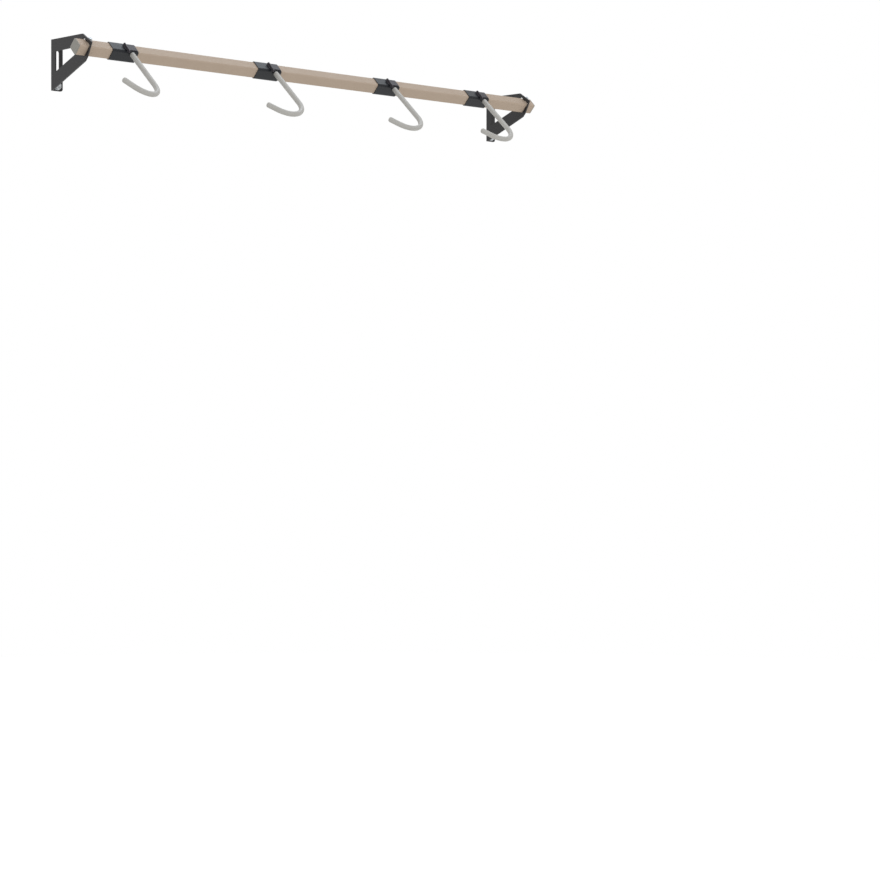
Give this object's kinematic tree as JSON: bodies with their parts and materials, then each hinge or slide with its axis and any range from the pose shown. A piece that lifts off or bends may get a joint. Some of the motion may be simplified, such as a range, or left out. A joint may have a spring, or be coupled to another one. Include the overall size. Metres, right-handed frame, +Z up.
{
  "type": "bicycle wall rack",
  "caption": "Wall rack for hanging bicycles: a square rail on edge between two plate brackets, with vinyl-coated hooks on sleeves that slide along the rail.",
  "frame": {"origin": "middle of the four wall screws, on the wall plane", "axes": "+X along the rail to the right, +Y into the wall along the screws, +Z up"},
  "size_m": [1.2967, 0.3313, 0.147],
  "materials": {
    "rail_powder_coat": "champagne powder coat, satin",
    "black_powder_coat": "black powder coat, satin",
    "zinc_plate": "bright zinc plate",
    "grey_vinyl": "dipped light grey vinyl",
    "cap_plastic": "moulded grey plastic"
  },
  "bodies": {
    "wall_rail": {"rail_tube": "rail_powder_coat", "left_end_cap": "cap_plastic", "right_end_cap": "cap_plastic", "left_bracket": "black_powder_coat", "right_bracket": "black_powder_coat", "left_rail_screw": "zinc_plate", "right_rail_screw": "zinc_plate", "left_wall_screws": "zinc_plate", "right_wall_screws": "zinc_plate", "left_wall_washers": "zinc_plate", "right_wall_washers": "zinc_plate"},
    "hook_1": {"hook_1_carrier": "black_powder_coat", "hook_1_saddle": "black_powder_coat", "hook_1_rod": "black_powder_coat", "hook_1_vinyl": "grey_vinyl"},
    "hook_2": {"hook_2_carrier": "black_powder_coat", "hook_2_saddle": "black_powder_coat", "hook_2_rod": "black_powder_coat", "hook_2_vinyl": "grey_vinyl"},
    "hook_3": {"hook_3_carrier": "black_powder_coat", "hook_3_saddle": "black_powder_coat", "hook_3_rod": "black_powder_coat", "hook_3_vinyl": "grey_vinyl"},
    "hook_4": {"hook_4_carrier": "black_powder_coat", "hook_4_saddle": "black_powder_coat", "hook_4_rod": "black_powder_coat", "hook_4_vinyl": "grey_vinyl"}
  },
  "joints": [
    {"name": "hook_1_slide", "type": "slide", "parent": "wall_rail", "child": "hook_1", "axis": [1, 0, 0], "range_m": [-0.036, 0.13]},
    {"name": "hook_2_slide", "type": "slide", "parent": "wall_rail", "child": "hook_2", "axis": [1, 0, 0], "range_m": [-0.13, 0.113]},
    {"name": "hook_3_slide", "type": "slide", "parent": "wall_rail", "child": "hook_3", "axis": [1, 0, 0], "range_m": [-0.113, 0.082]},
    {"name": "hook_4_slide", "type": "slide", "parent": "wall_rail", "child": "hook_4", "axis": [1, 0, 0], "range_m": [-0.082, 0.118]}
  ]
}
